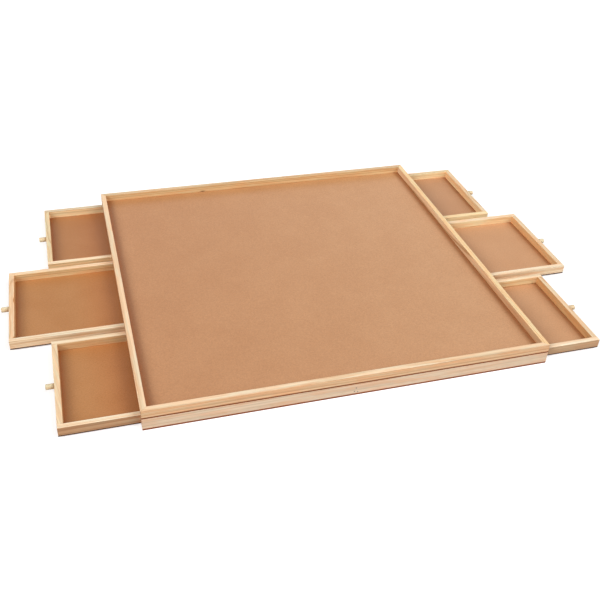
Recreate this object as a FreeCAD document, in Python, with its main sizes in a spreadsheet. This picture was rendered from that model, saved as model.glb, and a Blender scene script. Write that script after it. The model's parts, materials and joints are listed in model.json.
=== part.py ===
import FreeCAD, Part
import os
import Sketcher

# Jigsaw puzzle board with six sorting drawers.  It has no legs: it lies flat
# on any table.  A hardboard base carries two rails, a centre spine and four
# dividers.  These carry a hardboard work panel with a mitred rim around it, so
# the top is a shallow tray.  Three drawers slide out to the left and three to
# the right, on the base, between the rails and dividers.
#
# Millimetres, +Z up.  The origin is the middle of the base's underside.
# X runs left to right, the way the drawers slide.  Y runs front to back.

# ---------------------------------------------------------------- sizes

SIZES = (
    ("board_width", 889.0, "outside of the board, left to right"),
    ("board_depth", 889.0, "outside of the board, front to back"),
    ("base_thick", 4.0, "hardboard base"),
    ("rail_height", 25.5, "rails, spine and dividers, and so the drawer bays"),
    ("rail_thick", 15.5, "front and back rails"),
    ("spine_thick", 18.0, "centre spine between left and right drawers"),
    ("divider_thick", 16.5, "dividers between the drawers of one side"),
    ("panel_thick", 3.2, "hardboard work panel"),
    ("rim_height", 18.1, "rim above the work panel"),
    ("rim_thick", 12.5, "rim, across its top"),
    ("edge_radius", 0.7, "sanded long edges of every batten"),
    ("wall_thick", 12.0, "drawer walls"),
    ("bottom_thick", 3.0, "hardboard drawer bottoms"),
    ("side_gap", 1.2, "between a drawer and the batten on each side of it"),
    ("floor_gap", 0.5, "under a drawer"),
    ("roof_gap", 2.7, "over a drawer"),
    ("stop_gap", 1.0, "behind a closed drawer, in front of the spine"),
    ("knob_diameter", 12.0, "dowel knob"),
    ("knob_reach", 18.0, "dowel knob, out of the drawer's face"),
    ("knob_tenon", 8.0, "dowel knob, glued into the drawer's face"),
    ("knob_round", 1.6, "rounding of the knob's free end"),
    ("brad_diameter", 1.6, "shank of every brad"),
    ("brad_head_diameter", 2.8, "head of every brad"),
    ("brad_head_thick", 0.8, "head of every brad"),
    ("base_brad_length", 16.0, "brads up through the base"),
    ("rail_brad_length", 38.0, "brads through a rail into the spine"),
    ("drawer_brad_length", 12.0, "brads up through a drawer's bottom"),
    ("brad_inset", 40.0, "first and last brad of a row, from the batten's end"),
    ("pull_left_front", 158.6, "how far each drawer stands out of the board"),
    ("pull_left_middle", 246.5, ""),
    ("pull_left_back", 154.5, ""),
    ("pull_right_front", 142.0, ""),
    ("pull_right_middle", 224.0, ""),
    ("pull_right_back", 153.0, ""),
)

BASE_BRADS_PER_RAIL = 6
BASE_BRADS_PER_SPINE = 4
BASE_BRADS_PER_DIVIDER = 3
DRAWER_BRADS_PER_SIDE = 4
DRAWER_BRADS_PER_END = 2

# Brads through a rail into the spine's end, as (x, height above the base).
RAIL_BRADS = ((-2.0, 14.6), (-5.5, 5.6), (1.8, 3.7))

# ---------------------------------------------------------------- formulas

HALF_WIDTH = "(sizes.board_width / 2)"
HALF_DEPTH = "(sizes.board_depth / 2)"
HALF_SPINE = "(sizes.spine_thick / 2)"
PANEL_UNDERSIDE = "(sizes.base_thick + sizes.rail_height)"
PANEL_FACE = f"({PANEL_UNDERSIDE} + sizes.panel_thick)"

RAIL_CENTRE = f"({HALF_DEPTH} - sizes.rail_thick / 2)"
SPINE_LENGTH = "(sizes.board_depth - 2 * sizes.rail_thick)"
DIVIDER_LENGTH = f"({HALF_WIDTH} - {HALF_SPINE})"
BAY_WIDTH = f"(({SPINE_LENGTH} - 2 * sizes.divider_thick) / 3)"
BAY_PITCH = f"({BAY_WIDTH} + sizes.divider_thick)"

DRAWER_WIDTH = f"({BAY_WIDTH} - 2 * sizes.side_gap)"
DRAWER_LENGTH = f"({DIVIDER_LENGTH} - sizes.stop_gap)"
DRAWER_UNDERSIDE = "(sizes.base_thick + sizes.floor_gap)"
WALL_UNDERSIDE = f"({DRAWER_UNDERSIDE} + sizes.bottom_thick)"
WALL_HEIGHT = f"({PANEL_UNDERSIDE} - sizes.roof_gap - {WALL_UNDERSIDE})"
END_WALL_LENGTH = f"({DRAWER_WIDTH} - 2 * sizes.wall_thick)"

# ---------------------------------------------------------------- document

doc = FreeCAD.newDocument("puzzle_board")
finished = []


def fill_sheet():
    """Write the driving sizes into the document's spreadsheet."""
    sheet = doc.addObject("Spreadsheet::Sheet", "sizes")
    for row, (alias, value, note) in enumerate(SIZES, start=1):
        sheet.set(f"A{row}", alias)
        sheet.set(f"B{row}", str(value))
        sheet.set(f"C{row}", note)
        sheet.setAlias(f"B{row}", alias)
    doc.recompute()


def bind(thing, formulas):
    """Bind properties of an object to formulas over the spreadsheet."""
    for name, formula in formulas.items():
        thing.setExpression(name, formula)


def put(thing, place):
    """Bind the object's position to three formulas."""
    for axis, formula in zip("xyz", place):
        thing.setExpression(f"Placement.Base.{axis}", formula)


def keep(thing, label):
    """Name a finished sub-part, which is written under that name."""
    thing.Label = label
    finished.append(thing)
    return thing


# ---------------------------------------------------------------- pieces of one kind


def long_edges(shape, direction):
    """Names of a solid's straight edges that run along a direction."""
    names = []
    for number, edge in enumerate(shape.Edges, start=1):
        run = edge.Vertexes[-1].Point - edge.Vertexes[0].Point
        if run.Length > 0 and abs(run.normalize().dot(direction)) > 0.999:
            names.append(f"Edge{number}")
    return names


def plank(label, centre, size, along):
    """A sanded batten: a block on its centre, with its long edges rounded.

    centre is its middle in X and Y and its underside in Z, size its extent
    in X, Y and Z, all as formulas, and along is the direction of its grain.
    """
    body = doc.addObject("PartDesign::Body", f"{label}_stock")
    block = body.newObject("PartDesign::AdditiveBox", f"{label}_block")
    bind(block, dict(zip(("Length", "Width", "Height"), size)))
    put(block, (f"-({size[0]}) / 2", f"-({size[1]}) / 2", "0"))
    doc.recompute()
    sanding = body.newObject("PartDesign::Fillet", f"{label}_sanding")
    sanding.Base = (block, long_edges(block.Shape, along))
    bind(sanding, {"Radius": "sizes.edge_radius"})
    body.Tip = sanding
    put(body, centre)
    return body


def sheet_of_hardboard(label, centre, size):
    """A sawn hardboard sheet on its centre, with square edges."""
    sheet = doc.addObject("Part::Box", f"{label}_sheet")
    bind(sheet, dict(zip(("Length", "Width", "Height"), size)))
    corner_x = f"{centre[0]} - ({size[0]}) / 2"
    corner_y = f"{centre[1]} - ({size[1]}) / 2"
    put(sheet, (corner_x, corner_y, centre[2]))
    return sheet


def brad(name, place, turn, length):
    """A brad with its head's face at the place, driven the way turn sends +Z."""
    shank = doc.addObject("Part::Cylinder", f"{name}_shank")
    head = doc.addObject("Part::Cylinder", f"{name}_head")
    bind(shank, {"Radius": "sizes.brad_diameter / 2", "Height": length})
    bind(head, {"Radius": "sizes.brad_head_diameter / 2", "Height": "sizes.brad_head_thick"})
    for part in (shank, head):
        part.Placement = FreeCAD.Placement(FreeCAD.Vector(), turn)
        put(part, place)
    whole = doc.addObject("Part::Fuse", name)
    whole.Base = shank
    whole.Tool = head
    return whole


def group(name, members):
    """A compound of solids that stay separate."""
    compound = doc.addObject("Part::Compound", name)
    compound.Links = members
    return compound


def bored(label, blank, tools):
    """The blank with the room that its brads or knob fill cut out of it."""
    cut = doc.addObject("Part::Cut", f"{label}_bored")
    cut.Base = blank
    cut.Tool = tools[0] if len(tools) == 1 else group(f"{label}_tools", tools)
    return keep(cut, label)


def spread(half_run, count):
    """Formulas of evenly spaced places from -half_run to +half_run."""
    steps = count - 1
    return [f"({half_run}) * {2 * step - steps} / {steps}" for step in range(count)]


UP = FreeCAD.Rotation()
TO_BACK = FreeCAD.Rotation(FreeCAD.Vector(1, 0, 0), -90)
TO_FRONT = FreeCAD.Rotation(FreeCAD.Vector(1, 0, 0), 90)
ALONG_X = FreeCAD.Vector(1, 0, 0)
ALONG_Y = FreeCAD.Vector(0, 1, 0)

# ---------------------------------------------------------------- the board


def base_brads():
    """Brads driven up through the base into every batten on it."""
    places = []
    rail_run = f"{HALF_WIDTH} - sizes.brad_inset"
    for sign in ("-", ""):
        for x in spread(rail_run, BASE_BRADS_PER_RAIL):
            places.append((x, f"{sign}{RAIL_CENTRE}", "0"))
    spine_run = f"{SPINE_LENGTH} / 2 - sizes.brad_inset"
    for y in spread(spine_run, BASE_BRADS_PER_SPINE):
        places.append(("0", y, "0"))
    divider_run = f"{DIVIDER_LENGTH} / 2 - sizes.brad_inset"
    for side in ("-1", "1"):
        for row in ("-1", "1"):
            for offset in spread(divider_run, BASE_BRADS_PER_DIVIDER):
                middle = f"({HALF_SPINE} + {DIVIDER_LENGTH} / 2)"
                places.append((f"{side} * {middle} + {offset}", f"{row} * {BAY_PITCH} / 2", "0"))
    members = [
        brad(f"base_brad_{number}", place, UP, "sizes.base_brad_length")
        for number, place in enumerate(places)
    ]
    return keep(group("base_brad_group", members), "base_brads")


def rail_brads(name, sign, turn):
    """Brads through the middle of a rail into the end of the spine."""
    members = []
    for number, (x, height) in enumerate(RAIL_BRADS):
        place = (f"{x}", f"{sign}{HALF_DEPTH}", f"sizes.base_thick + {height}")
        members.append(brad(f"{name}_brad_{number}", place, turn, "sizes.rail_brad_length"))
    return keep(group(f"{name}_brad_group", members), f"{name}_brads")


def build_carcass():
    """The base, and the battens on it that the drawers run between."""
    from_below = base_brads()
    from_front = rail_brads("front_rail", "-", TO_BACK)
    from_back = rail_brads("back_rail", "", TO_FRONT)

    base = sheet_of_hardboard(
        "base_panel", ("0", "0", "0"),
        ("sizes.board_width", "sizes.board_depth", "sizes.base_thick"))
    bored("base_panel", base, [from_below])

    for label, sign, brads in (("front_rail", "-", from_front), ("back_rail", "", from_back)):
        rail = plank(
            label, ("0", f"{sign}{RAIL_CENTRE}", "sizes.base_thick"),
            ("sizes.board_width", "sizes.rail_thick", "sizes.rail_height"), ALONG_X)
        bored(label, rail, [from_below, brads])

    spine = plank(
        "centre_spine", ("0", "0", "sizes.base_thick"),
        ("sizes.spine_thick", SPINE_LENGTH, "sizes.rail_height"), ALONG_Y)
    bored("centre_spine", spine, [from_below, from_front, from_back])

    for side, side_sign in (("left", "-1"), ("right", "1")):
        for row, row_sign in (("front", "-1"), ("back", "1")):
            label = f"divider_{side}_{row}"
            middle = f"{side_sign} * ({HALF_SPINE} + {DIVIDER_LENGTH} / 2)"
            divider = plank(
                label, (middle, f"{row_sign} * {BAY_PITCH} / 2", "sizes.base_thick"),
                (DIVIDER_LENGTH, "sizes.divider_thick", "sizes.rail_height"), ALONG_X)
            bored(label, divider, [from_below])


def rim_outline(sketch):
    """A mitred batten seen from above: the outer edge on Y = 0, ends at 45 degrees."""
    length, width = 800.0, 10.0
    corners = (
        FreeCAD.Vector(-length / 2, 0, 0),
        FreeCAD.Vector(length / 2, 0, 0),
        FreeCAD.Vector(length / 2 - width, width, 0),
        FreeCAD.Vector(-length / 2 + width, width, 0),
    )
    for start in range(4):
        sketch.addGeometry(Part.LineSegment(corners[start], corners[(start + 1) % 4]))
    for start in range(4):
        sketch.addConstraint(Sketcher.Constraint("Coincident", start, 2, (start + 1) % 4, 1))
    sketch.addConstraint(Sketcher.Constraint("Horizontal", 0))
    sketch.addConstraint(Sketcher.Constraint("Symmetric", 0, 1, 0, 2, -1, 1))
    sketch.addConstraint(Sketcher.Constraint("Symmetric", 2, 1, 2, 2, -2))
    outer = sketch.addConstraint(Sketcher.Constraint("DistanceX", 0, 1, 0, 2, length))
    across = sketch.addConstraint(Sketcher.Constraint("DistanceY", 0, 2, 1, 2, width))
    shorter = sketch.addConstraint(Sketcher.Constraint("DistanceX", 1, 2, 0, 2, width))
    for number, name in ((outer, "outer_length"), (across, "across"), (shorter, "mitre")):
        sketch.renameConstraint(number, name)


def origin_plane(body, role):
    """One of the body's own origin planes."""
    return next(plane for plane in body.Origin.OriginFeatures if plane.Role == role)


def rim(label, outer_length, place, angle):
    """A rim batten with mitred ends, its long edges sanded, turned into its place."""
    body = doc.addObject("PartDesign::Body", f"{label}_body")
    outline = body.newObject("Sketcher::SketchObject", f"{label}_outline")
    outline.AttachmentSupport = [(origin_plane(body, "XY_Plane"), "")]
    outline.MapMode = "FlatFace"
    rim_outline(outline)
    bind(outline, {
        "Constraints.outer_length": outer_length,
        "Constraints.across": "sizes.rim_thick",
        "Constraints.mitre": "sizes.rim_thick",
    })
    pad = body.newObject("PartDesign::Pad", f"{label}_pad")
    pad.Profile = outline
    bind(pad, {"Length": "sizes.rim_height"})
    doc.recompute()
    sanding = body.newObject("PartDesign::Fillet", f"{label}_sanding")
    sanding.Base = (pad, long_edges(pad.Shape, ALONG_X))
    bind(sanding, {"Radius": "sizes.edge_radius"})
    body.Tip = sanding
    body.Placement = FreeCAD.Placement(
        FreeCAD.Vector(), FreeCAD.Rotation(FreeCAD.Vector(0, 0, 1), angle))
    put(body, place)
    keep(body, label)


def build_tray():
    """The work panel, and the four mitred battens that make its rim."""
    panel = sheet_of_hardboard(
        "work_panel", ("0", "0", PANEL_UNDERSIDE),
        ("sizes.board_width", "sizes.board_depth", "sizes.panel_thick"))
    keep(panel, "work_panel")
    rim("rim_front", "sizes.board_width", ("0", f"-{HALF_DEPTH}", PANEL_FACE), 0)
    rim("rim_right", "sizes.board_depth", (HALF_WIDTH, "0", PANEL_FACE), 90)
    rim("rim_back", "sizes.board_width", ("0", HALF_DEPTH, PANEL_FACE), 180)
    rim("rim_left", "sizes.board_depth", (f"-{HALF_WIDTH}", "0", PANEL_FACE), 270)


# ---------------------------------------------------------------- the drawers


def drawer_knob(name, sign, face, row):
    """A dowel knob, part of its length in the drawer's face and its free end rounded."""
    body = doc.addObject("PartDesign::Body", f"{name}_knob_body")
    dowel = body.newObject("PartDesign::AdditiveCylinder", f"{name}_dowel")
    bind(dowel, {
        "Radius": "sizes.knob_diameter / 2",
        "Height": "sizes.knob_tenon + sizes.knob_reach",
    })
    doc.recompute()
    free_end = max(
        (number for number, edge in enumerate(dowel.Shape.Edges, start=1)
         if isinstance(edge.Curve, Part.Circle)),
        key=lambda number: dowel.Shape.Edges[number - 1].CenterOfMass.z)
    rounding = body.newObject("PartDesign::Fillet", f"{name}_rounding")
    rounding.Base = (dowel, [f"Edge{free_end}"])
    bind(rounding, {"Radius": "sizes.knob_round"})
    body.Tip = rounding
    turn = FreeCAD.Rotation(FreeCAD.Vector(0, 1, 0), 90 * sign)
    body.Placement = FreeCAD.Placement(FreeCAD.Vector(), turn)
    middle = f"{WALL_UNDERSIDE} + {WALL_HEIGHT} / 2"
    put(body, (f"{face} - {sign} * sizes.knob_tenon", row, middle))
    return keep(body, f"{name}_knob")


def drawer_brads(name, centre, row):
    """Brads driven up through a drawer's bottom into its four walls."""
    places = []
    side_run = f"{DRAWER_LENGTH} / 2 - sizes.brad_inset"
    side_line = f"({DRAWER_WIDTH} / 2 - sizes.wall_thick / 2)"
    end_run = f"{END_WALL_LENGTH} / 2 - sizes.brad_inset"
    end_line = f"({DRAWER_LENGTH} / 2 - sizes.wall_thick / 2)"
    for sign in ("-", "+"):
        for offset in spread(side_run, DRAWER_BRADS_PER_SIDE):
            places.append((f"{centre} + {offset}", f"{row} {sign} {side_line}", DRAWER_UNDERSIDE))
        for offset in spread(end_run, DRAWER_BRADS_PER_END):
            places.append((f"{centre} {sign} {end_line}", f"{row} + {offset}", DRAWER_UNDERSIDE))
    members = [
        brad(f"{name}_brad_{number}", place, UP, "sizes.drawer_brad_length")
        for number, place in enumerate(places)
    ]
    return keep(group(f"{name}_brad_group", members), f"{name}_brads")


def drawer(side, sign, place_in_side, row_number):
    """One drawer, pulled out of its bay: a bottom, four walls, a knob and brads.

    sign is -1 for a drawer that opens to the left and 1 to the right;
    row_number is -1, 0 or 1 from front to back.
    """
    name = f"drawer_{side}_{place_in_side}"
    face = f"{sign} * ({HALF_WIDTH} + sizes.pull_{side}_{place_in_side})"
    centre = f"({face} - {sign} * {DRAWER_LENGTH} / 2)"
    row = f"({row_number} * {BAY_PITCH})"
    knob = drawer_knob(name, sign, face, row)
    brads = drawer_brads(name, centre, row)

    bottom = sheet_of_hardboard(
        f"{name}_bottom", (centre, row, DRAWER_UNDERSIDE),
        (DRAWER_LENGTH, DRAWER_WIDTH, "sizes.bottom_thick"))
    bored(f"{name}_bottom", bottom, [brads])

    side_line = f"({DRAWER_WIDTH} / 2 - sizes.wall_thick / 2)"
    for label, wall_sign in ((f"{name}_front_side", "-"), (f"{name}_back_side", "+")):
        wall = plank(
            label, (centre, f"{row} {wall_sign} {side_line}", WALL_UNDERSIDE),
            (DRAWER_LENGTH, "sizes.wall_thick", WALL_HEIGHT), ALONG_X)
        bored(label, wall, [brads])

    end_line = f"({DRAWER_LENGTH} / 2 - sizes.wall_thick / 2)"
    ends = ((f"{name}_face", sign, [brads, knob]), (f"{name}_inner_end", -sign, [brads]))
    for label, end_sign, tools in ends:
        wall = plank(
            label, (f"{centre} + {end_sign} * {end_line}", row, WALL_UNDERSIDE),
            ("sizes.wall_thick", END_WALL_LENGTH, WALL_HEIGHT), ALONG_Y)
        bored(label, wall, tools)


def build_drawers():
    """Three drawers that open to the left and three to the right."""
    for side, sign in (("left", -1), ("right", 1)):
        for place_in_side, row_number in (("front", -1), ("middle", 0), ("back", 1)):
            drawer(side, sign, place_in_side, row_number)


# ---------------------------------------------------------------- check and write


def check_document():
    """Stop on any object that failed, and on any sub-part without a sound shape."""
    for thing in doc.Objects:
        if "Invalid" in thing.State or "Error" in thing.State:
            raise RuntimeError(f"{thing.Label} failed: {thing.State}")
    for thing in finished:
        if thing.Shape.isNull() or not thing.Shape.isValid():
            raise RuntimeError(f"{thing.Label} has no sound shape")
        if not thing.Shape.Solids:
            raise RuntimeError(f"{thing.Label} holds no solid")


def write_parts():
    """Write each sub-part to a STEP file of its own."""
    os.makedirs("parts", exist_ok=True)
    for thing in finished:
        thing.Shape.exportStep(f"parts/{thing.Label}.step")
        print(f"{thing.Label}: {len(thing.Shape.Solids)} solids, {thing.Shape.Volume:.0f} mm3")


fill_sheet()
build_carcass()
build_tray()
build_drawers()
doc.recompute()
check_document()
write_parts()
print(f"{len(finished)} sub-parts")
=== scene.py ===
"""Looks of the jigsaw puzzle board with six sorting drawers.

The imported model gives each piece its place, its size and the body that it moves with. This script
builds the visible battens, hardboard sheets, dowel knobs and brads in those places, finishes them
as bare pine, hardboard and dull steel, and sets up the floor, the light and the camera.

Lengths are in metres. X runs left to right, Y front to back and Z up.
"""
import json
import logging
import math
import random
from collections.abc import Callable, Iterable, Mapping, Sequence
from dataclasses import dataclass, replace
from enum import Enum
from itertools import count
from typing import ClassVar

import bmesh
import bpy
from mathutils import Color, Euler, Matrix, Vector


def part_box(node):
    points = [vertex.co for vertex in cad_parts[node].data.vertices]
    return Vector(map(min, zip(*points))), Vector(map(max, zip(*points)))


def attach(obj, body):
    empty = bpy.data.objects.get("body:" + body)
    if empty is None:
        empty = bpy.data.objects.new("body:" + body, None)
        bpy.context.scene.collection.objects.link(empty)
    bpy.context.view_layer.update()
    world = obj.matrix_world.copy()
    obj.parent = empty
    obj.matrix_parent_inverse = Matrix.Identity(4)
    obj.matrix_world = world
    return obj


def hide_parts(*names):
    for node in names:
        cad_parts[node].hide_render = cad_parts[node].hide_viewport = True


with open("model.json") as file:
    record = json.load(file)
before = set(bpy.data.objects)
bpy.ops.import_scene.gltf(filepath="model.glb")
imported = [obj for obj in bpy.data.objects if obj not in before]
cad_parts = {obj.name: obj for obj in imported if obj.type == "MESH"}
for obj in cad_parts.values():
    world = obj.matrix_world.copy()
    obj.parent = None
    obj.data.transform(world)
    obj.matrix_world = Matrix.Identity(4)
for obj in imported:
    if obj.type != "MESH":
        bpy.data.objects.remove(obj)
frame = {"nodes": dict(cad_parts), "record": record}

LOG = logging.getLogger("puzzle_board")
BODIES: dict[str, list[str]] = frame["record"]["behaviour"]["bodies"]
MM = 0.001
BRIGHTEST = 255
# Points this close are one.
TOUCHING = 0.001 * MM
# How much of a direction lies along an axis if it runs mostly or squarely along it.
MOSTLY = 0.9
SQUARELY = 0.99
# The bevel profile of an arc.
CIRCULAR = 0.5
NUMBER = "NodeSocketFloat"
VECTOR = "NodeSocketVector"

Node = bpy.types.Node
Socket = bpy.types.NodeSocket
Outputs = bpy.types.NodeOutputs
Shape = bmesh.types.BMesh
Edge = bmesh.types.BMEdge
Face = bmesh.types.BMFace
Colour = tuple[float, float, float, float]
Place = tuple[float, float, float]
Span = tuple[float, float]

WHITE: Colour = (1.0, 1.0, 1.0, 1.0)


class Axis(Enum):
    """The direction that a piece's grain runs in."""

    X = 0
    Y = 1


class Side(Enum):
    """The side of the board that a drawer opens to, with its sign along X."""

    LEFT = -1
    RIGHT = 1


class Row(Enum):
    """The place of a drawer among the three of one side."""

    FRONT = "front"
    MIDDLE = "middle"
    BACK = "back"


class Tint(Enum):
    """How much of red, green and blue a face keeps: partly since no two battens are quite alike,
    and partly as painted light and shade.
    """

    PLAIN = (1.0, 1.0, 1.0)
    PALE = (1.0, 1.07, 1.14)
    SAND = (0.96, 0.95, 0.94)
    OAT = (0.92, 0.92, 0.87)
    GOLDEN = (0.99, 1.0, 0.86)
    HONEY = (0.99, 0.94, 0.78)
    STRAW = (1.01, 1.12, 1.04)
    TOAST = (0.86, 0.91, 0.83)
    ASH = (0.75, 0.82, 0.85)
    AMBER = (0.92, 0.84, 0.77)
    TAN = (0.88, 0.83, 0.77)
    OCHRE = (0.86, 0.79, 0.61)
    UMBER = (0.75, 0.69, 0.60)
    # Darker and greyer overall.
    WEATHERED = (0.62, 0.56, 0.50)

    def fade(self, other: "Tint", share: float) -> Vector:
        """Return the tint that lies some share of the way to another one."""
        return Vector(self.value).lerp(Vector(other.value), share)


class Drive(Enum):
    """The direction in which a group of brads was driven."""

    UP = (0.0, 0.0, 1.0)
    TO_BACK = (0.0, 1.0, 0.0)
    TO_FRONT = (0.0, -1.0, 0.0)


def shown(*displayed: int) -> Colour:
    """Turn red, green and blue as displayed, from 0 to 255, into a shader's linear colour."""
    linear = Color([value / BRIGHTEST for value in displayed]).from_srgb_to_scene_linear()
    return (*linear, 1.0)


# ---- shader graphs


@dataclass(frozen=True)
class Grain:
    """A noise's grains in a metre along each axis, and its finer layers with their weight."""

    scale: Place = (1.0, 1.0, 1.0)
    detail: float = 2.0
    roughness: float = 0.5


class Graph:
    """Adds and links the nodes of one material or node group."""

    def __init__(self, tree: bpy.types.NodeTree) -> None:
        """Keep the tree of a material or of a node group, which the nodes go into."""
        self.tree = tree

    def add(
        self, kind: str, sockets: Mapping[str | int, object] | None = None, **settings: object
    ) -> Node:
        """Add a node.

        Args:
            kind: The node's type.
            sockets: A value, or a socket to link, for each input that isn't left as it is.
            settings: The node's own properties.

        Returns:
            The new node.
        """
        node = self.tree.nodes.new(kind)
        for name, value in settings.items():
            setattr(node, name, value)
        for key, value in (sockets or {}).items():
            self.feed(node, key, value)
        return node

    def feed(self, node: Node, key: str | int, value: object) -> None:
        """Link a socket into an input, or set the input's value.

        Args:
            node: The node that takes it.
            key: The input's name or number.
            value: A socket or a plain value.
        """
        if isinstance(value, Socket):
            self.tree.links.new(value, node.inputs[key])
        else:
            node.inputs[key].default_value = value

    def math(self, operation: str, *values: object) -> Socket:
        """Add a Math node and return its result."""
        return self.add("ShaderNodeMath", dict(enumerate(values)), operation=operation).outputs[0]

    def vector(self, operation: str, *values: object, output: str = "Vector") -> Socket:
        """Add a Vector Math node and return its result."""
        node = self.add("ShaderNodeVectorMath", dict(enumerate(values)), operation=operation)
        return node.outputs[output]

    def length(self, value: Socket) -> Socket:
        """Return the length of a vector."""
        return self.vector("LENGTH", value, output="Value")

    def smooth(self, value: Socket, low: float, high: float) -> Socket:
        """Return 0 below low, 1 above high and a smooth step between them."""
        sockets = {"Value": value, "From Min": low, "From Max": high}
        return self.add("ShaderNodeMapRange", sockets, interpolation_type="SMOOTHSTEP").outputs[0]

    def spread(self, value: Socket, low: float, high: float) -> Socket:
        """Return a value from 0 to 1 spread over low to high."""
        sockets = {"Value": value, "To Min": low, "To Max": high}
        return self.add("ShaderNodeMapRange", sockets).outputs["Result"]

    def scaled(self, vector: Socket, factor: object) -> Socket:
        """Return a vector times a number."""
        node = self.add("ShaderNodeVectorMath", {0: vector, "Scale": factor}, operation="SCALE")
        return node.outputs["Vector"]

    def stretched(self, vector: Socket, scale: Place) -> Socket:
        """Return a vector scaled by its own amount along each axis."""
        return self.vector("MULTIPLY", vector, scale)

    def parts(self, vector: Socket) -> Outputs:
        """Return a vector's X, Y and Z."""
        return self.add("ShaderNodeSeparateXYZ", {0: vector}).outputs

    def noise(self, vector: Socket, grain: Grain) -> Outputs:
        """Read a noise.

        Args:
            vector: Where the noise is read.
            grain: How fine it is.

        Returns:
            Fac, the noise from 0 to 1, and Color, three such noises.
        """
        sockets = {
            "Vector": self.stretched(vector, grain.scale),
            "Scale": 1.0,
            "Detail": grain.detail,
            "Roughness": grain.roughness,
        }
        return self.add("ShaderNodeTexNoise", sockets).outputs

    def patches(self, vector: Socket, grain: Grain, contrast: Span) -> Socket:
        """Return a noise as patches, which go from 0 to 1 over the stretch of contrast."""
        return self.smooth(self.noise(vector, grain)["Fac"], *contrast)

    def blend(self, share: object, first: object, second: object, mode: str = "MIX") -> Socket:
        """Mix two colours.

        Args:
            share: How much of the second colour, from 0 to 1.
            first: The first colour.
            second: The second colour.
            mode: The blend mode.

        Returns:
            The mixed colour.
        """
        node = self.add("ShaderNodeMix", {"Factor": share}, data_type="RGBA", blend_type=mode)
        colours = [number for number, socket in enumerate(node.inputs) if socket.type == "RGBA"]
        for number, value in zip(colours, (first, second)):
            self.feed(node, number, value)
        return next(socket for socket in node.outputs if socket.type == "RGBA")

    def times(self, colour: object, tint: object) -> Socket:
        """Return a colour times another one."""
        return self.blend(1.0, colour, tint, "MULTIPLY")

    def shaded(self, colour: object, value: Socket) -> Socket:
        """Return a colour times a number."""
        grey = self.add("ShaderNodeCombineColor", dict.fromkeys(("Red", "Green", "Blue"), value))
        return self.times(colour, grey.outputs["Color"])

    def noted(self, name: str, output: str = "Fac") -> Socket:
        """Return what the piece notes under a name: a number as Fac, a vector as Vector."""
        node = self.add("ShaderNodeAttribute", attribute_name=name, attribute_type="GEOMETRY")
        return node.outputs[output]

    def place(self) -> Socket:
        """Return the place on the object."""
        return self.add("ShaderNodeTexCoord").outputs["Object"]


class Effect:
    """A shader node group that several finishes share. It is built once."""

    name = ""
    inputs: Mapping[str, str] = {}
    outputs: Sequence[str] = ()

    def place(self, graph: Graph, **values: object) -> Outputs:
        """Put the group into a material.

        Args:
            graph: The material's graph.
            values: A value or socket for each input, with _ for the space in its name.

        Returns:
            The group's outputs.
        """
        node = graph.add("ShaderNodeGroup", node_tree=self.tree())
        for name, value in values.items():
            graph.feed(node, name.replace("_", " "), value)
        return node.outputs

    def tree(self) -> bpy.types.NodeTree:
        """Find the effect's node group, or build it if this is its first use.

        Returns:
            The node group.
        """
        tree = bpy.data.node_groups.get(self.name)
        if tree is not None:
            return tree
        tree = bpy.data.node_groups.new(self.name, "ShaderNodeTree")
        for name, kind in self.inputs.items():
            tree.interface.new_socket(name=name, in_out="INPUT", socket_type=kind)
        for name in self.outputs:
            tree.interface.new_socket(name=name, in_out="OUTPUT", socket_type=NUMBER)
        graph = Graph(tree)
        source = graph.add("NodeGroupInput").outputs
        graph.add("NodeGroupOutput", self.build(graph, source))
        return tree

    def build(self, graph: Graph, source: Outputs) -> dict[str, Socket]:
        """Build the group's inside, and return a socket for each output."""
        raise NotImplementedError


class GrowthRings(Effect):
    """Annual rings of a trunk that runs along the vector's X, as dark latewood bands.

    Waves is how often the trunk bends in a metre, and Wobble how far it bends.
    """

    name = "growth_rings"
    inputs = {"Vector": VECTOR, "Ring Width": NUMBER, "Wobble": NUMBER, "Waves": NUMBER}
    outputs = ("Latewood",)
    cross_bends = 5.0
    unbent = (0.5, 0.5, 0.5)
    year_grain = 0.45
    uneven_years = 2.6
    summer = (0.42, 0.86)
    autumn = (0.90, 1.0)
    faintest_year = 0.25

    def build(self, graph: Graph, source: Outputs) -> dict[str, Socket]:
        """Measure the distance from the bent middle of the trunk, and band it.

        Args:
            graph: The group's graph.
            source: The group's inputs.

        Returns:
            A socket for each output.
        """
        vector = source["Vector"]
        along = graph.scaled(graph.stretched(vector, (1.0, 0.0, 0.0)), source["Waves"])
        across = graph.stretched(vector, (0.0, self.cross_bends, self.cross_bends))
        drift = graph.noise(graph.vector("ADD", along, across), Grain())
        bend = graph.vector("SUBTRACT", drift["Color"], self.unbent)
        bent = graph.vector("ADD", vector, graph.scaled(bend, source["Wobble"]))
        radius = graph.length(graph.stretched(bent, (0.0, 1.0, 1.0)))
        rings = graph.math("DIVIDE", radius, source["Ring Width"])
        sockets = {"W": rings, "Scale": self.year_grain}
        years = graph.add("ShaderNodeTexNoise", sockets, noise_dimensions="1D")
        uneven = graph.math("MULTIPLY_ADD", years.outputs["Fac"], self.uneven_years, rings)
        season = graph.math("FRACT", uneven)
        rise = graph.smooth(season, *self.summer)
        fall = graph.smooth(season, *self.autumn)
        band = graph.math("MAXIMUM", graph.math("SUBTRACT", rise, fall), 0.0)
        year = graph.math("FLOOR", uneven)
        luck = graph.add("ShaderNodeTexWhiteNoise", {"W": year}, noise_dimensions="1D")
        strength = graph.spread(luck.outputs["Value"], self.faintest_year, 1.0)
        return {"Latewood": graph.math("MULTIPLY", band, strength)}


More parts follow.
